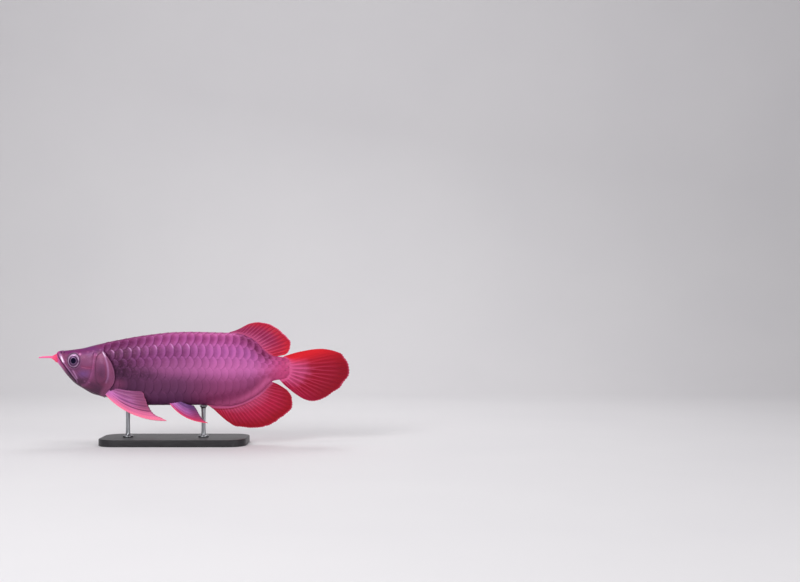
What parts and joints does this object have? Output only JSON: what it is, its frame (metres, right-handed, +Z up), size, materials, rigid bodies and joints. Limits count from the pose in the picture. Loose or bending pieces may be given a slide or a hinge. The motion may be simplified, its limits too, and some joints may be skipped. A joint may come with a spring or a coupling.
{
  "type": "asian arowana",
  "caption": "Life-size still model of a deep-bodied bony-tongued fish with large scales, chin barbels and rounded fins, held level on a flat stand with two rods.",
  "frame": {"origin": "centre of the flat underside of the stand's base", "axes": "+Z up, the fish faces -X and its left side is towards -Y"},
  "size_m": [0.5297, 0.11, 0.2084],
  "materials": {
    "skin": "satin pearly fish skin with a pink metallic sheen",
    "head_skin": "smooth bony head, satin, dusky mauve",
    "fins": "thin translucent red membrane over paler rays",
    "barbels": "soft pink, satin",
    "eyes": "clear gloss over a silvery ring and a dark pupil",
    "stand_base": "satin black",
    "stand_rods": "satin steel"
  },
  "bodies": {
    "root": {"head": "head_skin", "lower_jaw": "head_skin", "gill_cover_left": "head_skin", "gill_cover_right": "head_skin", "eye_left": "eyes", "eye_right": "eyes", "barbel_left": "barbels", "barbel_right": "barbels", "trunk": "skin", "tail_peduncle": "skin", "dorsal_fin": "fins", "anal_fin": "fins", "caudal_fin": "fins", "pectoral_fin_left": "fins", "pectoral_fin_right": "fins", "pelvic_fin_left": "fins", "pelvic_fin_right": "fins", "stand_base": "stand_base", "stand_rod_front": "stand_rods", "stand_rod_rear": "stand_rods"}
  },
  "joints": []
}
